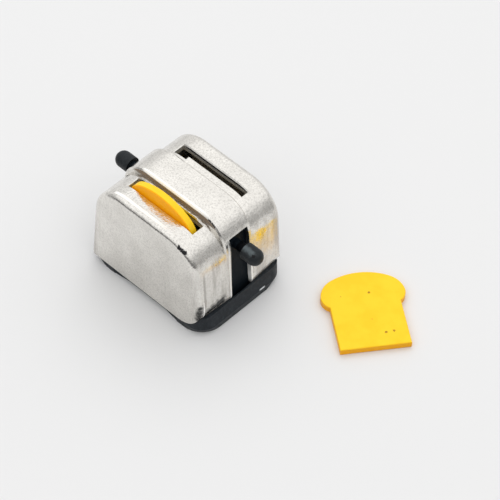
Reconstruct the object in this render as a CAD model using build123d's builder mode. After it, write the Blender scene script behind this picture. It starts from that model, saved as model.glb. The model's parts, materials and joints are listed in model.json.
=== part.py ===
from build123d import *
import math
import os

# A doll's-house toaster with two slices of toast, in millimetres. X runs along the toaster
# towards the right-hand lever, Y to the rear and Z up; the origin is on the ground below its middle.

# Body casting
shell_length = 21.75       # over the end faces, at the foot of the side walls
shell_width = 16.88
foot_z = 1.18              # foot of the side walls above the ground
band_top = 16.76           # front and rear bands
centre_top = 17.69         # raised band down the middle
centre_width = 5.28
end_draft = 4.5            # degrees that each end face leans inwards
band_arch = 5.6            # radius of the upper corners of the front and rear bands
centre_arch = 5.1          # the same on the raised band
foot_corner_middle = 2.65  # radius of the right-hand lower corner, at the lever slot
foot_corner_side = 4.15    # and at the front and rear faces
foot_corner_left = 1.0
side_wall = 0.9
end_wall = 0.7
roof = 1.1
band_inner_arch = 4.6
centre_inner_arch = 4.1
rim_radius = 0.9           # round the edges of the two long sides
centre_rim = 0.22          # bevel along the edges of the raised band

# Toast slots and lever slots
slot_length = 12.36
front_slot = (-5.35, -3.3)     # from and to, along Y
rear_slot = (4.3, 5.5)
rear_notch = 0.65              # the rear slot is wider by this at its left end
rear_notch_length = 2.2
slot_edge = 0.15               # bevel along the mouth of each slot
lever_slot_foot = 4.15         # width at ground level; it narrows upwards
lever_slot_head = 3.5
lever_slot_top = 14.7
lever_y = 0.2

# Base moulding, as length, width and corner radius at three heights
ground_outline = (22.4, 16.5, 3.7)
edge_outline = (22.66, 16.8, 2.6)
bumper_outline = (21.8, 16.8, 2.1)
base_edge = 1.2
bumper_top = 3.5
recess_length = 10.0       # the long sides of the base draw in between the bumpers
recess_depth = 0.6
recess_slant = 1.6         # length over which they do
floor_top = 0.9
clearance = 0.1            # between neighbouring pieces that do not move
seat_gap = 0.06            # round the casting's foot

# Lever carriage
lever_z = 12.4
shelf_top = 4.8
shelf_thickness = 0.8
shelf_length = 10.4
shelf_width = 2.2
plate_thickness = 0.6
plate_width = 5.0
plate_top = 14.95
plate_foot = 2.3
plate_bevel = 0.5
spine_width = 1.2
spine_top = 7.2
pin_radius = 0.75
pin_reach = 13.0
post_x = 7.2               # inner face of each guide post
post_depth = 0.9
post_top = 11.5
slit_foot = 1.8

# Lever knobs
knob_root = 11.1
knob_tip = 14.0
knob_radius = 1.28

# Toast
toast_foot = 10.2
toast_crown = 12.2
toast_neck = 7.7
toast_crown_z = 9.7        # where the crown is widest
crown_radius = 8.9         # of the flat top arc
shoulder_x = 4.2           # where that arc meets the shoulder
toast_height = 13.55
toast_thickness = 1.1
toast_edge = 0.1
slot_toast_x = -0.68
slot_toast_y = -4.65
slot_toast_z = 5.24
slot_toast_lean = -4.0     # degrees
spare_toast_at = (29.6, 7.55)
spare_toast_turn = 53.2    # degrees

# Screws, bosses and spring
boss_x = 7.75
boss_y = 6.45
boss_radius = 1.2
boss_head = 7.5
boss_bore = 4.2
screw_radius = 0.5
screw_head_radius = 1.0
screw_length = 4.2
screw_places = ((-boss_x, -boss_y), (boss_x, boss_y))
rim_height = 0.6
well_x = 9.2
well_length = 1.7
well_foot = 0.5
spigot_height = 0.8
spring_radius = 1.05
spring_wire = 0.24
spring_turns = 3

half_length = shell_length / 2
half_width = shell_width / 2
slope = math.tan(math.radians(end_draft))


def end_x(z, inset=0.0):
    """Half-length of the casting at height z, less an inset."""
    return half_length - slope * (z - foot_z) - inset


def side_view(bottom, top, inset, upper_radius):
    """The casting's outline seen from the side, with its upper corners rounded."""
    with BuildSketch(Plane.XZ) as view:
        with BuildLine():
            Polyline(
                (-end_x(bottom, inset), bottom),
                (end_x(bottom, inset), bottom),
                (end_x(top, inset), top),
                (-end_x(top, inset), top),
                close=True,
            )
        make_face()
        fillet(view.vertices().group_by(Axis.Y)[-1], upper_radius)
    return view.sketch


def foot_section(y, bottom, gap, right_radius):
    """Section of the casting's envelope at y: only the two lower corners are rounded."""
    with BuildSketch(Plane.XZ.offset(-y)) as section:
        with BuildLine():
            Polyline(
                (-end_x(bottom, -gap), bottom),
                (end_x(bottom, -gap), bottom),
                (end_x(centre_top + 1, -gap), centre_top + 1),
                (-end_x(centre_top + 1, -gap), centre_top + 1),
                close=True,
            )
        make_face()
        fillet(section.vertices().group_by(Axis.Y)[0].sort_by(Axis.X)[0], foot_corner_left)
        fillet(section.vertices().group_by(Axis.Y)[0].sort_by(Axis.X)[-1], right_radius)
    return section.sketch


def foot_envelope(bottom, gap):
    """Envelope of the casting's rounded foot, grown by a gap at the ends."""
    with BuildPart() as envelope:
        loft([
            foot_section(0, bottom, gap, foot_corner_middle),
            foot_section(-half_width - 0.3, bottom, gap, foot_corner_side),
        ])
        mirror(about=Plane.XZ)
    return envelope.part


# Raised band, bevelled along its edges before it joins the body
with BuildPart() as centre_band:
    extrude(side_view(0, centre_top, 0, centre_arch), amount=centre_width / 2, both=True)
    long_edges = centre_band.faces().filter_by(Axis.Y).edges().filter_by(lambda e: e.center().Z > 0.01)
    chamfer(long_edges, centre_rim)

# Body: one casting with a lower band at the front and rear and the raised band between them
with BuildPart() as shell:
    extrude(side_view(0, band_top, 0, band_arch), amount=half_width, both=True)
    rims = shell.faces().filter_by(Axis.Y).edges().filter_by(lambda e: e.center().Z > 0.01)
    fillet(rims, rim_radius)
    add(centre_band.part)
    # hollow inside, open at the foot
    extrude(
        side_view(-1, band_top - roof, end_wall, band_inner_arch),
        amount=half_width - side_wall, both=True, mode=Mode.SUBTRACT,
    )
    extrude(
        side_view(-1, centre_top - roof, end_wall, centre_inner_arch),
        amount=centre_width / 2 - side_wall, both=True, mode=Mode.SUBTRACT,
    )
    # room for the lever plates behind the end walls
    extrude(
        side_view(-1, plate_top + 0.35, end_wall, plate_bevel * 2),
        amount=plate_width / 2 + clearance, both=True, mode=Mode.SUBTRACT,
    )

    # toast slots through the two lower bands, the rear one with a notch at its left end
    with BuildSketch(Plane.XY.offset(band_top - roof - 1)) as toast_slots:
        for near, far in (front_slot, rear_slot):
            with Locations((0, (near + far) / 2)):
                Rectangle(slot_length, far - near)
        with Locations(((rear_notch_length - slot_length) / 2, (sum(rear_slot) - rear_notch) / 2)):
            Rectangle(rear_notch_length, rear_slot[1] - rear_slot[0] + rear_notch)
    extrude(amount=roof + 2, mode=Mode.SUBTRACT)
    mouths = shell.edges(Select.LAST).filter_by(lambda e: e.center().Z > band_top - 0.35)
    chamfer(mouths, slot_edge)
    # lever slots, open at the foot so that the casting drops over the levers
    with BuildSketch(Plane.YZ) as lever_slot:
        with BuildLine():
            Polyline(
                (lever_y - lever_slot_foot / 2, 0), (lever_y + lever_slot_foot / 2, 0),
                (lever_y + lever_slot_head / 2, lever_slot_top),
                (lever_y - lever_slot_head / 2, lever_slot_top), close=True,
            )
        make_face()
    extrude(amount=half_length + 1, both=True, mode=Mode.SUBTRACT)
    # bosses for the screws, in two opposite corners
    with BuildSketch(Plane.XY.offset(foot_z)) as bosses:
        with Locations(screw_places):
            Circle(boss_radius)
    extrude(amount=boss_head - foot_z)
    with Locations([Location((x, y, foot_z), (180, 0, 0)) for x, y in screw_places]):
        Hole(screw_radius, boss_bore)
    # sharp foot with its corners rounded away
    add(foot_envelope(foot_z, 0.02), mode=Mode.INTERSECT)

recess_y = ground_outline[1] / 2 - recess_depth

# Base: a flat moulding whose ends swell into bumpers that follow the casting's rounded foot
with BuildPart() as base_tray:
    for z, (length, width, corner) in (
        (0, ground_outline), (base_edge, edge_outline), (bumper_top, bumper_outline),
    ):
        with BuildSketch(Plane.XY.offset(z)):
            RectangleRounded(length, width, corner)
    loft(ruled=True)
    # seat for the casting
    add(foot_envelope(foot_z - 0.04, seat_gap), mode=Mode.SUBTRACT)
    with BuildSketch() as recesses:
        with BuildLine():
            Polyline(
                (-recess_length / 2, recess_y), (recess_length / 2, recess_y),
                (recess_length / 2 + recess_slant, half_width), (-recess_length / 2 - recess_slant, half_width),
                close=True,
            )
        make_face()
        mirror(about=Plane.XZ)
    extrude(amount=foot_z, mode=Mode.SUBTRACT)
    # rim that locates the casting from inside
    rim_length = 2 * (boss_x - boss_radius - 0.3)
    rim_width = shell_width - 2 * side_wall - 2 * clearance
    with BuildSketch(Plane.XY.offset(foot_z - 0.1)) as rim:
        RectangleRounded(rim_length, rim_width, 0.8)
        offset(amount=-0.7, mode=Mode.SUBTRACT)
    extrude(amount=rim_height + 0.1)
    # clear the inside down to the floor
    with BuildSketch(Plane.XY.offset(floor_top)) as floor:
        RectangleRounded(rim_length - 1.4, rim_width - 1.4, 0.4)
    extrude(amount=foot_z, mode=Mode.SUBTRACT)
    # wells that take the feet of the lever plates
    with BuildSketch(Plane.XY.offset(well_foot)) as wells:
        with GridLocations(2 * well_x, 0, 2, 1):
            Rectangle(well_length, plate_width + 0.4)
    extrude(amount=bumper_top, mode=Mode.SUBTRACT)
    # guide posts, each split by a slit for the carriage spine
    with BuildSketch(Plane.XY.offset(floor_top)) as posts:
        with GridLocations(2 * post_x + post_depth, 0, 2, 1):
            Rectangle(post_depth, plate_width)
    extrude(amount=post_top - floor_top)
    with BuildSketch(Plane.XY.offset(slit_foot)) as slits:
        with GridLocations(2 * post_x + post_depth, 0, 2, 1):
            Rectangle(post_depth + 0.2, spine_width + 0.1)
    extrude(amount=post_top, mode=Mode.SUBTRACT)
    # countersunk holes for the screws
    with Locations([Location((x, y, 0), (180, 0, 0)) for x, y in screw_places]):
        CounterSinkHole(screw_radius + 0.1, screw_head_radius + 0.05, bumper_top)
    # spigot that centres the spring
    with BuildSketch(Plane.XY.offset(floor_top)) as spigot:
        Circle(spring_radius - spring_wire)
    extrude(amount=spigot_height)

# Lever carriage: end plates that close the lever slots, pins for the knobs, a spine and two toast shelves
plate_inset = end_wall + clearance
plate_back = plate_inset + plate_thickness
front_shelf_y = sum(front_slot) / 2
rear_shelf_y = sum(rear_slot) / 2
spine_foot = shelf_top - shelf_thickness
with BuildPart() as lever_carriage:
    with BuildSketch(Plane.XZ) as plate_view:
        with BuildLine():
            Polyline(
                (end_x(plate_foot, plate_inset), plate_foot), (end_x(plate_top, plate_inset), plate_top),
                (end_x(plate_top, plate_back), plate_top), (end_x(plate_foot, plate_back), plate_foot),
                close=True,
            )
        make_face()
        chamfer(plate_view.vertices().group_by(Axis.Y)[-1].sort_by(Axis.X)[-1], plate_bevel)
    extrude(amount=plate_width / 2, both=True)
    with BuildSketch(Plane.YZ.offset(end_x(lever_z, plate_back) + 0.1)) as pin:
        with Locations((lever_y, lever_z)):
            Circle(pin_radius)
    extrude(amount=pin_reach - end_x(lever_z, plate_back) - 0.1)
    mirror(about=Plane.YZ)
    with BuildSketch(Plane.XZ) as spine:
        spine_end = end_x(plate_foot, plate_back) - 0.3
        arm_end = end_x(lever_z, plate_inset + 0.3)
        arm_back = post_x + post_depth + 0.15
        with BuildLine():
            Polyline(
                (-spine_end, spine_foot), (spine_end, spine_foot), (arm_end, lever_z), (arm_back, lever_z),
                (arm_back, spine_top), (-arm_back, spine_top), (-arm_back, lever_z), (-arm_end, lever_z),
                close=True,
            )
        make_face()
    extrude(amount=spine_width / 2, both=True)
    with BuildSketch(Plane.XY.offset(spine_foot)) as shelves:
        with Locations((0, front_shelf_y), (0, rear_shelf_y)):
            Rectangle(shelf_length, shelf_width)
        with GridLocations(shelf_length / 2 - 0.6, 0, 3, 1):
            Rectangle(1.2, 2 * abs(front_shelf_y))
    extrude(amount=shelf_thickness)

# Knobs: bullet-shaped caps pushed onto the lever pins
with BuildPart() as right_lever_knob:
    with BuildSketch(Plane.XZ.offset(-lever_y)) as knob_half:
        with BuildLine():
            Polyline(
                (knob_root, lever_z), (knob_root, lever_z + knob_radius),
                (knob_tip, lever_z + knob_radius), (knob_tip, lever_z), close=True,
            )
        make_face()
        fillet(knob_half.vertices().group_by(Axis.Y)[-1].sort_by(Axis.X)[-1], knob_radius - 0.02)
    revolve(axis=Axis((0, lever_y, lever_z), (1, 0, 0)))
    with BuildSketch(Plane.YZ.offset(knob_root)) as knob_bore:
        with Locations((lever_y, lever_z)):
            Circle(pin_radius)
    extrude(amount=pin_reach - knob_root, mode=Mode.SUBTRACT)

with BuildPart() as left_lever_knob:
    mirror(right_lever_knob.part, about=Plane.YZ)


def shoulder_start(share):
    """Point on the flat top arc of the slice, at a share of the way out to its shoulder."""
    drop = crown_radius - math.sqrt(crown_radius ** 2 - (share * shoulder_x) ** 2)
    return share * shoulder_x, toast_height - drop


def toast_slice(plane):
    """A slice of toast standing on a plane: straight sides, a neck and a flattened crown."""
    with BuildPart() as slice_of_toast:
        with BuildSketch(plane) as outline:
            with BuildLine():
                Polyline((0, 0), (toast_foot / 2, 0), (toast_foot / 2, toast_neck))
                crown = ThreePointArc((0, toast_height), shoulder_start(0.5), shoulder_start(1))
                shoulder = TangentArc(crown @ 1, (toast_crown / 2, toast_crown_z), tangent=crown % 1)
                TangentArc(shoulder @ 1, (toast_foot / 2, toast_neck), tangent=shoulder % 1)
                mirror(about=Plane.YZ)
            make_face()
        extrude(amount=toast_thickness)
        faces = slice_of_toast.faces().sort_by(SortBy.AREA)[-2:]
        chamfer(faces.edges(), toast_edge)
    return slice_of_toast.part


lean = math.radians(slot_toast_lean)
slot_toast = toast_slice(Plane(
    origin=(slot_toast_x, slot_toast_y + toast_thickness / 2, slot_toast_z),
    x_dir=(math.cos(lean), 0, math.sin(lean)), z_dir=(0, -1, 0),
))
turn = math.radians(spare_toast_turn)
spare_toast = toast_slice(Plane(origin=(*spare_toast_at, 0), x_dir=(math.cos(turn), math.sin(turn), 0)))

# Screws: countersunk, up through the base into two of the bosses
with BuildPart() as base_screws:
    head_depth = (screw_head_radius - screw_radius) / math.tan(math.radians(41))
    with BuildSketch(Plane.XZ) as screw_half:
        with BuildLine():
            Polyline(
                (0, 0.05), (screw_head_radius - 0.05, 0.05), (screw_radius - 0.05, head_depth + 0.05),
                (screw_radius - 0.05, screw_length), (0, screw_length), close=True,
            )
        make_face()
    screw = revolve(axis=Axis.Z, mode=Mode.PRIVATE)
    with Locations([(x, y, 0) for x, y in screw_places]):
        add(screw)

# Return spring between the base and the shelf bars
with BuildPart() as return_spring:
    coil_foot = floor_top + spring_wire / 2
    coil_height = spine_foot - floor_top - spring_wire
    coil = Helix(coil_height / spring_turns, coil_height, spring_radius, center=(0, 0, coil_foot))
    with BuildSketch(Plane(origin=coil @ 0, z_dir=coil % 0)) as wire:
        RegularPolygon(spring_wire / 2 - 0.01, 6)
    sweep(path=coil)

pieces = {
    "shell": shell.part,
    "base_tray": base_tray.part,
    "base_screws": base_screws.part,
    "lever_carriage": lever_carriage.part,
    "left_lever_knob": left_lever_knob.part,
    "right_lever_knob": right_lever_knob.part,
    "return_spring": return_spring.part,
    "slot_toast": slot_toast,
    "spare_toast": spare_toast,
}
os.makedirs("parts", exist_ok=True)
for name, piece in pieces.items():
    piece.label = name
    export_step(piece, f"parts/{name}.step")
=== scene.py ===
import bpy
import json
import math
from mathutils import Matrix, Vector


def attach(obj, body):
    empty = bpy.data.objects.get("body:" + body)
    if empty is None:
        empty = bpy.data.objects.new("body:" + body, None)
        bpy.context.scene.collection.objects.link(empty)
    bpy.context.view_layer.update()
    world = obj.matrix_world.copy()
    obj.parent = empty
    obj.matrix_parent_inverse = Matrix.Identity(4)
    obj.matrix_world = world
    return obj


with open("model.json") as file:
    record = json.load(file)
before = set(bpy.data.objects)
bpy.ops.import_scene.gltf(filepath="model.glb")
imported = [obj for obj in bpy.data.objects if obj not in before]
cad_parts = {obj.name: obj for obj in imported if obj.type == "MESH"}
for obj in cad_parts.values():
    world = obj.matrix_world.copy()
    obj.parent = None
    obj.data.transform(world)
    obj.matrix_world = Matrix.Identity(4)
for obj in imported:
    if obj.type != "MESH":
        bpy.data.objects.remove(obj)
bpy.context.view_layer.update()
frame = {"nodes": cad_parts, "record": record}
nodes = frame["nodes"]
mm = 0.001
bpy.ops.object.select_all(action="DESELECT")
print("frame loaded:", len(nodes), "nodes")


# The view looks down on the right-hand front corner from well above.
view = {
    "azimuth": 41.652,         # degrees, from straight along +Y
    "elevation": 49.785,
    "roll": 2.586,
    "lens": 180.0,             # mm, on a sensor of 36 mm
    "sensor": 36.0,
    "distance": 358.11 * mm,   # from the camera to the point that it looks at
    "lookAt": Vector((5.126, 7.733, 1.18)) * mm,
    "clip": (10 * mm, 5.0),
}


def addCamera(v):
    azimuth, elevation = math.radians(v["azimuth"]), math.radians(v["elevation"])
    lookDir = Vector((
        -math.sin(azimuth) * math.cos(elevation),
        math.cos(azimuth) * math.cos(elevation),
        -math.sin(elevation),
    ))
    rightDir = Vector((math.cos(azimuth), math.sin(azimuth), 0))
    upDir = rightDir.cross(lookDir)
    place = v["lookAt"] - lookDir * v["distance"]
    facing = Matrix((rightDir, upDir, -lookDir)).transposed().to_4x4()
    roll = Matrix.Rotation(math.radians(v["roll"]), 4, "Z")
    cameraData = bpy.data.cameras.new("camera")
    cameraData.lens = v["lens"]
    cameraData.sensor_width = v["sensor"]
    cameraData.clip_start, cameraData.clip_end = v["clip"]
    camera = bpy.data.objects.new("camera", cameraData)
    bpy.context.scene.collection.objects.link(camera)
    camera.matrix_world = Matrix.Translation(place) @ facing @ roll
    bpy.context.scene.camera = camera


addCamera(view)
bpy.context.scene.view_settings.view_transform = "Standard"
print("camera set")


def linear(value):
    # from a screen's level, 0 to 255, to linear light by the sRGB curve
    value = value / 255
    return value / 12.92 if value <= 0.04045 else ((value + 0.055) / 1.055) ** 2.4


def shade(red, green, blue):
    return (linear(red), linear(green), linear(blue), 1)


# The edge of a mark: size of its raggedness, how far that reaches and where the edge then lies, as
# shares of the mark's radius. The edge of a band is soft over a share of its half width.
edges = {
    "raggedScale": 1.4,
    "raggedReach": 1.8,
    "markEdge": 1.85,
    "bandSoftness": 0.25,
}


class Finish:
    # short calls that build a node tree from left to right
    def __init__(self, name):
        self.material = bpy.data.materials.new(name)
        self.material.use_nodes = True
        self.tree = self.material.node_tree
        self.shader = self.tree.nodes["Principled BSDF"]
        self.coords = self.tree.nodes.new("ShaderNodeTexCoord").outputs["Object"]

    def link(self, source, target):
        self.tree.links.new(source, target)

    def noise(self, scale, detail=3, roughness=0.5, stretch=(1, 1, 1)):
        mapping = self.tree.nodes.new("ShaderNodeMapping")
        mapping.inputs["Scale"].default_value = stretch
        self.link(self.coords, mapping.inputs["Vector"])
        texture = self.tree.nodes.new("ShaderNodeTexNoise")
        texture.inputs["Scale"].default_value = scale
        texture.inputs["Detail"].default_value = detail
        texture.inputs["Roughness"].default_value = roughness
        self.link(mapping.outputs["Vector"], texture.inputs["Vector"])
        return texture.outputs["Fac"]

    def spots(self, scale):
        texture = self.tree.nodes.new("ShaderNodeTexVoronoi")
        texture.inputs["Scale"].default_value = scale
        self.link(self.coords, texture.inputs["Vector"])
        return texture.outputs["Distance"]

    def along(self, axis):
        split = self.tree.nodes.new("ShaderNodeSeparateXYZ")
        self.link(self.coords, split.inputs[0])
        return split.outputs[axis]

    def math(self, operation, first, second=0.0):
        node = self.tree.nodes.new("ShaderNodeMath")
        node.operation = operation
        for source, socket in zip((first, second), node.inputs):
            if isinstance(source, (int, float)):
                socket.default_value = source
            else:
                self.link(source, socket)
        return node.outputs[0]

    def product(self, first, *others):
        for other in others:
            first = self.math("MULTIPLY", first, other)
        return first

    def greatest(self, first, *others):
        for other in others:
            first = self.math("MAXIMUM", first, other)
        return first

    def fade(self, source, start, end):
        # 0 at the start value, 1 at the end value
        node = self.tree.nodes.new("ShaderNodeMapRange")
        node.inputs["From Min"].default_value = start
        node.inputs["From Max"].default_value = end
        self.link(source, node.inputs["Value"])
        return node.outputs["Result"]

    def away(self, point):
        node = self.tree.nodes.new("ShaderNodeVectorMath")
        node.operation = "DISTANCE"
        self.link(self.coords, node.inputs[0])
        node.inputs[1].default_value = point
        return node.outputs["Value"]

    def marks(self, points, radius, soft=0.15):
        # 1 close to any of the points, with a ragged edge
        nearest = self.away(points[0])
        for point in points[1:]:
            nearest = self.math("MINIMUM", nearest, self.away(point))
        noise = self.noise(edges["raggedScale"] / radius)
        ragged = self.math("MULTIPLY", noise, edges["raggedReach"] * radius)
        outer, inner = edges["markEdge"] + soft, edges["markEdge"] - soft
        return self.fade(self.math("ADD", nearest, ragged), outer * radius, inner * radius)

    def band(self, source, middle, half):
        # 1 within half a width of the middle
        distance = self.math("ABSOLUTE", self.math("SUBTRACT", source, middle))
        soft = edges["bandSoftness"]
        return self.fade(distance, (1 + soft) * half, (1 - soft) * half)

    def box(self, *ranges):
        # 1 inside the ranges, in millimetres along X, Y and Z, or None for the whole of an axis
        inside = 1.0
        for axis, span in zip("XYZ", ranges):
            if span:
                middle, half = sum(span) / 2 * mm, (span[1] - span[0]) / 2 * mm
                inside = self.math("MULTIPLY", inside, self.band(self.along(axis), middle, half))
        return inside

    def ramp(self, source, places, values=(0.0, 1.0)):
        # from the first value, a grey or a colour, to the second between the two places
        node = self.tree.nodes.new("ShaderNodeValToRGB")
        for element, place, value in zip(node.color_ramp.elements, places, values):
            element.position = place
            element.color = value if isinstance(value, tuple) else (value, value, value, 1)
        self.link(source, node.inputs["Fac"])
        return node.outputs["Color"]

    def mix(self, factor, first, second):
        node = self.tree.nodes.new("ShaderNodeMix")
        node.data_type = "RGBA"
        colours = [socket for socket in node.inputs if socket.type == "RGBA"]
        for source, socket in ((factor, node.inputs[0]), (first, colours[0]), (second, colours[1])):
            if isinstance(source, (int, float, tuple)):
                socket.default_value = source
            else:
                self.link(source, socket)
        return [socket for socket in node.outputs if socket.type == "RGBA"][0]

    def bump(self, height, strength, distance, under=None):
        node = self.tree.nodes.new("ShaderNodeBump")
        node.inputs["Strength"].default_value = strength
        node.inputs["Distance"].default_value = distance
        self.link(height, node.inputs["Height"])
        if under is not None:
            self.link(under, node.inputs["Normal"])
        return node.outputs["Normal"]


def row(first, last, count=5):
    # points in a straight row, given in millimetres
    first, last = Vector(first) * mm, Vector(last) * mm
    return [first.lerp(last, k / (count - 1)) for k in range(count)]


casting = {
    "bright": shade(238, 235, 229),
    "dull": shade(226, 223, 217),
    "cloudSize": 3 * mm,
    "clouds": (0.35, 0.65),
    # the end faces start between these distances from the middle, and are streaked up and down
    "endFaces": (8.6 * mm, 9.8 * mm),
    "streak": shade(204, 200, 194),
    "streakSize": 1.2 * mm,
    "streakStretch": (1, 1, 0.12),
    "streaks": (0.46, 0.60),
    "streakDullness": 0.35,
    "speck": shade(170, 167, 162),
    "speckSize": 0.3 * mm,
    "specks": (0.45, 0.68),
    "speckDepth": 0.5,
    "pit": shade(120, 116, 110),
    "pitSize": 1.1 * mm,
    "pits": (0.03, 0.07),
    "pitPatchSize": 4 * mm,
    "pitPatches": (0.56, 0.62),
    # painted dark reflections at the foot of the end face, on both sides of the corner's crease
    "darkReflection": shade(62, 62, 60),
    "cornerReflection": row((10.35, -7.85, 6.0), (10.35, -8.25, 4.1)),
    "cornerReflectionSize": 0.5 * mm,
    "footReflection": row((10.6, -6.5, 4.3), (10.6, -3.9, 4.6)),
    "footReflectionSize": 0.75 * mm,
    "reflectionSoftness": 0.5,
    # dark marks at the front rim and at the step up to the raised band: partly chips in the plating,
    # partly painted dark reflections
    "chipAndReflection": shade(24, 24, 26),
    "rimChipAndReflection": row((6.35, -8.2, 16.08), (7.45, -8.05, 15.65)),
    "rimChipAndReflectionSize": 0.3 * mm,
    "stepChip": row((6.6, -2.6, 17.2), (7.6, -2.6, 16.7)),
    "stepChipSize": 0.22 * mm,
    # the metal inside the slots is bare
    "bare": shade(160, 153, 138),
    "bareBelow": (16.4 * mm, 15.8 * mm),
    "bareHalfLength": 6.4 * mm,
    "bareHalfWidth": 8.0 * mm,
    # the end faces are dulled, apart from a few patches, as y, z, width and height in millimetres
    "polished": ((4.3, 12.0, 1.5, 2.6), (6.6, 13.0, 0.8, 1.6), (-4.2, 12.6, 1.3, 1.2)),
    "polishWander": 1.6 * mm,
    "polishWanderSize": 0.8 * mm,
    "dulledBelow": (14.0 * mm, 13.4 * mm),
    "dullness": 0.55,
    # the lever slots narrow upwards, and their edges are painted dark as shade
    "jambShade": shade(26, 29, 32),
    "slotMiddle": 0.2 * mm,
    "slotHalfWidth": 2.1 * mm,
    "slotTaper": 0.022,
    "slotTop": 14.72 * mm,
    # painted shade: the step up to the raised band behind the front slot is painted darker
    "step": shade(142, 128, 114),
    "stepBox": (None, (-2.72, -2.6), (16.4, 17.45)),
    # painted shade: a darker line along the crease at the front corner of the right-hand end face
    "creaseShade": shade(158, 153, 146),
    "creaseShadeBox": ((9.5, 12), (-7.15, -6.75), (5, 12)),
    "creaseShadeDepth": 0.6,
    # painted highlights: bright lines on both sides of the right-hand lever slot, on the raised band's
    # front edge, at the front rim and on the corner's crease
    "glint": shade(255, 254, 250),
    "glintBoxes": (
        ((9.5, 12), (2.12, 2.5), (3.6, 7.2)),
        ((9.5, 12), (-2.05, -1.8), (2, 14)),
        ((-7, 6.5), (-2.62, -2.1), (17.45, 18)),
        ((-8, 3), (-7.6, -7.15), (16.3, 17)),
        ((9.5, 12), (-7.35, -7.15), (3.6, 6.6)),
    ),
    "grainSize": 0.26 * mm,
    "grainPlaces": (0.3, 0.7),
    "roughness": (0.12, 0.26),
    "plainRoughness": (0.75, 0.75, 0.75, 1),
    "plainness": 0.85,         # how much of the metal's shine a plain mark takes away
    "grainBump": (0.9, 0.022 * mm),
    "waveSize": 2.2 * mm,
    "waveBump": (0.3, 0.16 * mm),
    "rippleSize": 1.1 * mm,
    "rippleStretch": (1, 1, 0.35),
    "rippleBump": (0.6, 0.12 * mm),
}


def endPolish(f, v):
    # the polished patches of the end faces, with wandering sides
    wander = f.math("MULTIPLY", f.noise(1 / v["polishWanderSize"]), v["polishWander"])
    shifted = f.math("ADD", f.along("Y"), wander)
    polish = 0.0
    for y, z, width, height in v["polished"]:
        across = f.band(shifted, y * mm + v["polishWander"] / 2, width / 2 * mm)
        polish = f.greatest(f.product(across, f.band(f.along("Z"), z * mm, height / 2 * mm)), polish)
    return polish


def slotEdges(f, v):
    halfWidth = f.math("SUBTRACT", v["slotHalfWidth"], f.math("MULTIPLY", f.along("Z"), v["slotTaper"]))
    aside = f.math("ABSOLUTE", f.math("SUBTRACT", f.along("Y"), v["slotMiddle"]))
    return f.product(
        f.math("LESS_THAN", aside, halfWidth),
        f.math("LESS_THAN", f.along("Z"), v["slotTop"]),
    )


def platedCasting(v):
    f = Finish("platedCasting")
    colour = f.ramp(f.noise(1 / v["cloudSize"], detail=4), v["clouds"], (v["dull"], v["bright"]))
    fromMiddle = f.math("ABSOLUTE", f.along("X"))
    onEnd = f.fade(fromMiddle, *v["endFaces"])
    streakNoise = f.noise(1 / v["streakSize"], stretch=v["streakStretch"])
    streaks = f.product(f.ramp(streakNoise, v["streaks"]), onEnd)
    colour = f.mix(streaks, colour, v["streak"])
    speckNoise = f.noise(1 / v["speckSize"], detail=4, roughness=0.7)
    colour = f.mix(f.ramp(speckNoise, v["specks"], (0.0, v["speckDepth"])), colour, v["speck"])
    pits = f.ramp(f.spots(1 / v["pitSize"]), v["pits"], (1.0, 0.0))
    patches = f.ramp(f.noise(1 / v["pitPatchSize"]), v["pitPatches"])
    colour = f.mix(f.product(pits, patches), colour, v["pit"])
    # painted dark reflections near the foot of the end face
    darkReflections = f.greatest(
        f.marks(v["cornerReflection"], v["cornerReflectionSize"], v["reflectionSoftness"]),
        f.marks(v["footReflection"], v["footReflectionSize"], v["reflectionSoftness"]),
    )
    colour = f.mix(darkReflections, colour, v["darkReflection"])
    # dark marks, partly chips in the plating and partly painted dark reflections
    chipsAndReflections = f.greatest(
        f.marks(v["rimChipAndReflection"], v["rimChipAndReflectionSize"]),
        f.marks(v["stepChip"], v["stepChipSize"]),
    )
    colour = f.mix(chipsAndReflections, colour, v["chipAndReflection"])
    bare = f.product(
        f.fade(f.along("Z"), *v["bareBelow"]),
        f.math("LESS_THAN", fromMiddle, v["bareHalfLength"]),
        f.math("LESS_THAN", f.math("ABSOLUTE", f.along("Y")), v["bareHalfWidth"]),
    )
    colour = f.mix(bare, colour, v["bare"])
    unpolished = f.math("SUBTRACT", 1.0, endPolish(f, v))
    dulled = f.product(onEnd, f.fade(f.along("Z"), *v["dulledBelow"]), unpolished)
    # painted shade inside the lever slots
    jambShade = slotEdges(f, v)
    colour = f.mix(jambShade, colour, v["jambShade"])
    # painted shade on the step up to the raised band
    step = f.box(*v["stepBox"])
    colour = f.mix(step, colour, v["step"])
    # painted shade along the corner's crease
    creaseShade = f.product(f.box(*v["creaseShadeBox"]), v["creaseShadeDepth"])
    colour = f.mix(creaseShade, colour, v["creaseShade"])
    # painted highlights
    glint = f.greatest(*[f.box(*ranges) for ranges in v["glintBoxes"]])
    f.link(f.mix(glint, colour, v["glint"]), f.shader.inputs["Base Color"])
    grain = f.noise(1 / v["grainSize"], detail=3, roughness=0.6)
    rough = f.ramp(grain, v["grainPlaces"], v["roughness"])
    plain = f.greatest(bare, glint, chipsAndReflections, jambShade, step)
    f.link(f.mix(plain, rough, v["plainRoughness"]), f.shader.inputs["Roughness"])
    plain = f.greatest(plain, f.product(streaks, v["streakDullness"]), f.product(dulled, v["dullness"]))
    shine = f.math("SUBTRACT", 1.0, f.product(plain, v["plainness"]))
    f.link(shine, f.shader.inputs["Metallic"])
    ripple = f.bump(f.noise(1 / v["rippleSize"], stretch=v["rippleStretch"]), *v["rippleBump"])
    wave = f.bump(f.noise(1 / v["waveSize"], detail=2), *v["waveBump"], under=ripple)
    f.link(f.bump(grain, *v["grainBump"], under=wave), f.shader.inputs["Normal"])
    return f.material


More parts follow.
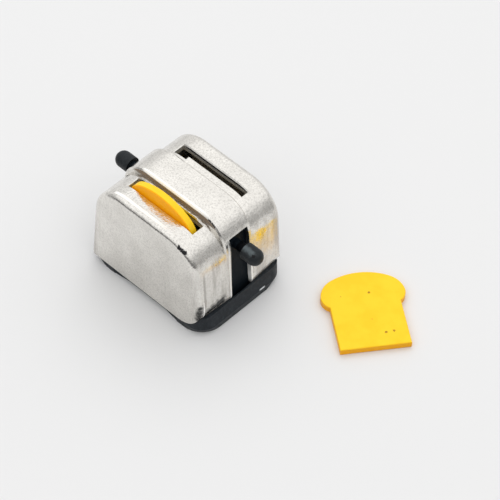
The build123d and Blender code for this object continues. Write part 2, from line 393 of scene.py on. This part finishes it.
moulding = {
    "colour": shade(30, 35, 40),
    "worn": shade(54, 60, 66),
    "shine": 0.2,
    # a short painted highlight along the edge of the right-hand bumper
    "paintedLight": shade(214, 219, 222),
    "paintedLightX": (10.9 * mm, 11.0 * mm),
    "paintedLightY": (3.75 * mm, 0.5 * mm),
    "paintedLightZ": (1.32 * mm, 0.13 * mm),
}
# a darker copy of the black moulding for the lever carriage's plate, which sits in the slot: painted
# shade
plateShade = {
    "colour": shade(19, 25, 31),
    "worn": shade(28, 34, 40),
    "shine": 0.05,
    # painted shade: the right-hand lever pin, high up on the outside, is painted darker than its plate,
    # so that the light on its top does not show
    "paintedLight": shade(6, 8, 11),
    "paintedLightX": (9.8 * mm, 9.9 * mm),
    "paintedLightZ": (10.4 * mm, 10.5 * mm),
}
mouldingGrain = {
    "scuffSize": 0.5 * mm,
    "scuffs": (0.50, 0.75),
    "sheenSize": 0.8 * mm,
    "sheenPlaces": (0.3, 0.7),
    "roughness": (0.38, 0.52),
    "grainSize": 0.12 * mm,
    "grainBump": (0.3, 0.008 * mm),
}


# painted highlight along the edge of the right-hand bumper
def bumperHighlight(f, v):
    across = f.product(f.band(f.along("Z"), *v["paintedLightZ"]), f.band(f.along("Y"), *v["paintedLightY"]))
    return f.product(across, f.fade(f.along("X"), *v["paintedLightX"]))


# painted shade on the right-hand lever pin
def leverPinShade(f, v):
    return f.product(f.fade(f.along("Z"), *v["paintedLightZ"]), f.fade(f.along("X"), *v["paintedLightX"]))


def blackMoulding(name, v, grain, paintedLight):
    f = Finish(name)
    scuffNoise = f.noise(1 / grain["scuffSize"], detail=6, roughness=0.7)
    colour = f.mix(f.ramp(scuffNoise, grain["scuffs"]), v["colour"], v["worn"])
    # the painted light: a highlight on the bumper's edge, shade on the lever pin
    f.link(f.mix(paintedLight(f, v), colour, v["paintedLight"]), f.shader.inputs["Base Color"])
    sheen = f.ramp(f.noise(1 / grain["sheenSize"]), grain["sheenPlaces"], grain["roughness"])
    f.link(sheen, f.shader.inputs["Roughness"])
    f.shader.inputs["Specular IOR Level"].default_value = v["shine"]
    f.link(f.bump(f.noise(1 / grain["grainSize"]), *grain["grainBump"]), f.shader.inputs["Normal"])
    return f.material


knobFinish = {
    "colour": shade(28, 32, 35),
    "worn": shade(46, 51, 54),
    "scuffSize": 0.35 * mm,
    "scuffs": (0.5, 0.75),
    # a painted highlight on the shoulder, where a small flat facet catches the light, and painted shade
    # in the dimple at the tip of the right-hand knob
    "flat": shade(84, 92, 95),
    "flatPlaces": row((11.3, -0.3, 13.6), (12.7, -0.4, 13.6)),
    "flatSize": 0.42 * mm,
    "flatSoftness": 0.6,
    "darkSpot": shade(8, 9, 14),
    "darkSpotPlace": [Vector((13.13, -0.49, 13.4)) * mm],
    "darkSpotSize": 0.27 * mm,
    "roughness": 0.5,
    "shine": 0.25,
    "grainSize": 0.1 * mm,
    "grainBump": (0.4, 0.010 * mm),
}


def knobRubber(v):
    f = Finish("knobRubber")
    scuffNoise = f.noise(1 / v["scuffSize"], detail=5, roughness=0.7)
    colour = f.mix(f.ramp(scuffNoise, v["scuffs"]), v["colour"], v["worn"])
    # painted highlight on the knob's shoulder
    flat = f.marks(v["flatPlaces"], v["flatSize"], v["flatSoftness"])
    colour = f.mix(flat, colour, v["flat"])
    # painted shade in the dimple at the knob's tip
    darkSpot = f.marks(v["darkSpotPlace"], v["darkSpotSize"])
    f.link(f.mix(darkSpot, colour, v["darkSpot"]), f.shader.inputs["Base Color"])
    f.shader.inputs["Roughness"].default_value = v["roughness"]
    f.shader.inputs["Specular IOR Level"].default_value = v["shine"]
    f.link(f.bump(f.noise(1 / v["grainSize"]), *v["grainBump"]), f.shader.inputs["Normal"])
    return f.material


crumb = {
    "face": shade(255, 211, 36),
    "deep": shade(255, 204, 26),
    "cloudSize": 2.5 * mm,
    "clouds": (0.35, 0.6),
    "speck": shade(196, 138, 26),
    "speckSize": 2.4 * mm,
    "specks": (0.020, 0.045),
    # small darker spots in the top face of the loose slice
    "darkSpot": shade(176, 128, 20),
    "darkSpots": [Vector(place) * mm for place in ((22.4, 14.0, 1.1), (28.9, 10.4, 1.1), (29.5, 11.4, 1.1))],
    "darkSpotSize": 0.2 * mm,
    # painted shade on the loose slice's edge, below its top face
    "edgeShade": shade(250, 176, 4),
    "edgeShadeBelow": (1.05 * mm, 0.95 * mm),
    # the standing slice's front face is painted a warmer shade and given a painted glow, which stands
    # for light that passes through it
    "shaded": shade(255, 176, 0),
    "frontFace": (-5.05 * mm, -5.15 * mm),
    "glow": (1.0, 0.38, 0.01, 1),
    "glowStrength": 0.16,
    "roughness": 0.45,
    "shine": 0.25,
    "grainSize": 0.4 * mm,
    "grainBump": (0.25, 0.02 * mm),
}


def toastYellow(v):
    f = Finish("toastYellow")
    cloud = f.ramp(f.noise(1 / v["cloudSize"], detail=4), v["clouds"], (v["deep"], v["face"]))
    specks = f.ramp(f.spots(1 / v["speckSize"]), v["specks"], (1.0, 0.0))
    colour = f.mix(specks, cloud, v["speck"])
    colour = f.mix(f.marks(v["darkSpots"], v["darkSpotSize"]), colour, v["darkSpot"])
    # painted shade on the loose slice's edge
    colour = f.mix(f.fade(f.along("Z"), *v["edgeShadeBelow"]), colour, v["edgeShade"])
    # painted shade and a painted glow on the standing slice's front face
    front = f.fade(f.along("Y"), *v["frontFace"])
    f.link(f.mix(front, colour, v["shaded"]), f.shader.inputs["Base Color"])
    f.shader.inputs["Emission Color"].default_value = v["glow"]
    f.link(f.product(front, v["glowStrength"]), f.shader.inputs["Emission Strength"])
    f.shader.inputs["Roughness"].default_value = v["roughness"]
    f.shader.inputs["Specular IOR Level"].default_value = v["shine"]
    f.link(f.bump(f.noise(1 / v["grainSize"], detail=4), *v["grainBump"]), f.shader.inputs["Normal"])
    return f.material


wire = {
    "colour": shade(196, 197, 200),
    "sheenSize": 0.3 * mm,
    "sheenPlaces": (0.3, 0.7),
    "roughness": (0.25, 0.4),
}


def wireSteel(v):
    f = Finish("wireSteel")
    f.shader.inputs["Base Color"].default_value = v["colour"]
    f.shader.inputs["Metallic"].default_value = 1.0
    sheen = f.ramp(f.noise(1 / v["sheenSize"]), v["sheenPlaces"], v["roughness"])
    f.link(sheen, f.shader.inputs["Roughness"])
    return f.material


finishes = {
    "plated_casting": platedCasting(casting),
    "black_moulding": blackMoulding("blackMoulding", moulding, mouldingGrain, bumperHighlight),
    "knob_rubber": knobRubber(knobFinish),
    "toast_yellow": toastYellow(crumb),
    "spring_steel": wireSteel(wire),
}
finishes["screw_steel"] = finishes["spring_steel"]
for part in frame["record"]["subparts"]:
    if part["node"] in nodes:
        slots = nodes[part["node"]].data.materials
        slots.clear()
        slots.append(finishes[part["material_slot"]])
# the lever carriage gets the darker copy of the black moulding, as painted shade
shadedPlateFinish = blackMoulding("plateShade", plateShade, mouldingGrain, leverPinShade)
nodes["lever_carriage"].data.materials[0] = shadedPlateFinish
print("materials made")


# The base's long sides are drawn in less near the bumpers than in the middle.
baseSide = {
    "length": 13.2 * mm,
    "middle": 7.0 * mm,        # length of the stretch that is drawn in most
    "inner": 7.6 * mm,         # distances from the middle plane
    "outer": 8.25 * mm,
    "drawnIn": 7.84 * mm,
    "foot": 0.02 * mm,
    "top": 1.15 * mm,
    "endColumn": 0.4,          # the grid's end columns lie further out than this share of its length
}


def addBaseSide(name, side, v):
    bpy.ops.object.select_all(action="DESELECT")
    bpy.ops.mesh.primitive_grid_add(x_subdivisions=3, y_subdivisions=1, size=1)
    piece = bpy.context.object
    piece.name = name
    # the inner edge is straight; the outer edge is full at its ends and drawn in between them
    for point in piece.data.vertices:
        atEnd = abs(point.co.x) > v["endColumn"]
        reach = v["inner"]
        if point.co.y < 0:
            reach = v["outer"] if atEnd else v["drawnIn"]
        x = math.copysign(v["length"] / 2 if atEnd else v["middle"] / 2, point.co.x)
        point.co = (x, side * reach, v["foot"])
    bpy.ops.object.mode_set(mode="EDIT")
    bpy.ops.mesh.select_all(action="SELECT")
    bpy.ops.mesh.extrude_region_move(TRANSFORM_OT_translate={"value": (0, 0, v["top"] - v["foot"])})
    bpy.ops.mesh.select_all(action="SELECT")
    bpy.ops.mesh.normals_make_consistent(inside=False)
    bpy.ops.object.mode_set(mode="OBJECT")
    piece.data.materials.append(finishes["black_moulding"])
    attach(piece, "toaster")


addBaseSide("baseSideFront", -1, baseSide)
addBaseSide("baseSideRear", 1, baseSide)
print("base sides made")


# The stage: a pale floor, a plain room that shows in the metal, and two lamps.
stage = {
    "floorSize": 3.0,
    # painted falloff: the floor is painted lighter near the toaster and darker further away
    "floorNear": shade(226, 226, 226),
    "floorFar": shade(190, 190, 190),
    "paintedFalloff": (0.09, 0.30),     # it darkens between these distances from the toaster
    "floorRoughness": 0.9,
    "backwards": (-0.4, 0.9, 0),   # the way, a little to the left, in which the low part brightens
    "turn": (-0.5, 0.7),           # how far backwards a direction points, in front and behind
    "low": (0.10, 0.85),           # brightness low down, in front and behind
    "overhead": 1.18,
    "riseStart": (0.05, 0.30),     # heights on the unit sphere where it starts to brighten
    "riseEnd": 0.8,                # height where it is as bright as overhead
    "lampSize": 0.5,
    "keyPlace": Vector((-0.28, 0.34, 0.57)),
    "keyPower": 0.78,
    "fillPlace": Vector((0.05, -0.45, 0.5)),
    "fillPower": 0.3,
}


def addFloor(v):
    bpy.ops.mesh.primitive_plane_add(size=v["floorSize"], location=(0, 0, 0))
    floor = bpy.context.object
    floor.name = "floor"
    f = Finish("floorPaper")
    # painted falloff of light, darker away from the toaster
    far = f.fade(f.away(Vector()), *v["paintedFalloff"])
    f.link(f.mix(far, v["floorNear"], v["floorFar"]), f.shader.inputs["Base Color"])
    f.shader.inputs["Roughness"].default_value = v["floorRoughness"]
    floor.data.materials.append(f.material)


def addRoom(v):
    world = bpy.data.worlds.new("world")
    bpy.context.scene.world = world
    world.use_nodes = True
    tree = world.node_tree
    direction = tree.nodes.new("ShaderNodeTexCoord").outputs["Generated"]
    split = tree.nodes.new("ShaderNodeSeparateXYZ")
    tree.links.new(direction, split.inputs[0])
    backwards = tree.nodes.new("ShaderNodeVectorMath")
    backwards.operation = "DOT_PRODUCT"
    tree.links.new(direction, backwards.inputs[0])
    backwards.inputs[1].default_value = v["backwards"]
    rise = tree.nodes.new("ShaderNodeMapRange")
    rise.interpolation_type = "SMOOTHSTEP"
    rise.inputs["From Max"].default_value = v["riseEnd"]
    rise.inputs["To Max"].default_value = v["overhead"]
    for socket, (front, back) in (("From Min", v["riseStart"]), ("To Min", v["low"])):
        blend = tree.nodes.new("ShaderNodeMapRange")
        blend.inputs["From Min"].default_value = v["turn"][0]
        blend.inputs["From Max"].default_value = v["turn"][1]
        blend.inputs["To Min"].default_value = front
        blend.inputs["To Max"].default_value = back
        tree.links.new(backwards.outputs["Value"], blend.inputs["Value"])
        tree.links.new(blend.outputs["Result"], rise.inputs[socket])
    tree.links.new(split.outputs["Z"], rise.inputs["Value"])
    tree.links.new(rise.outputs["Result"], tree.nodes["Background"].inputs["Strength"])
    tree.nodes["Background"].inputs["Color"].default_value = (1, 1, 1, 1)


def addLamp(name, place, power, size):
    lamp = bpy.data.lights.new(name, "AREA")
    lamp.size = size
    lamp.energy = power
    holder = bpy.data.objects.new(name, lamp)
    bpy.context.scene.collection.objects.link(holder)
    holder.location = place
    holder.visible_glossy = False  # the room alone shows in the metal
    holder.rotation_euler = (-place).to_track_quat("-Z", "Y").to_euler()


addFloor(stage)
addRoom(stage)
addLamp("key", stage["keyPlace"], stage["keyPower"], stage["lampSize"])
addLamp("fill", stage["fillPlace"], stage["fillPower"], stage["lampSize"])
print("floor and light set")
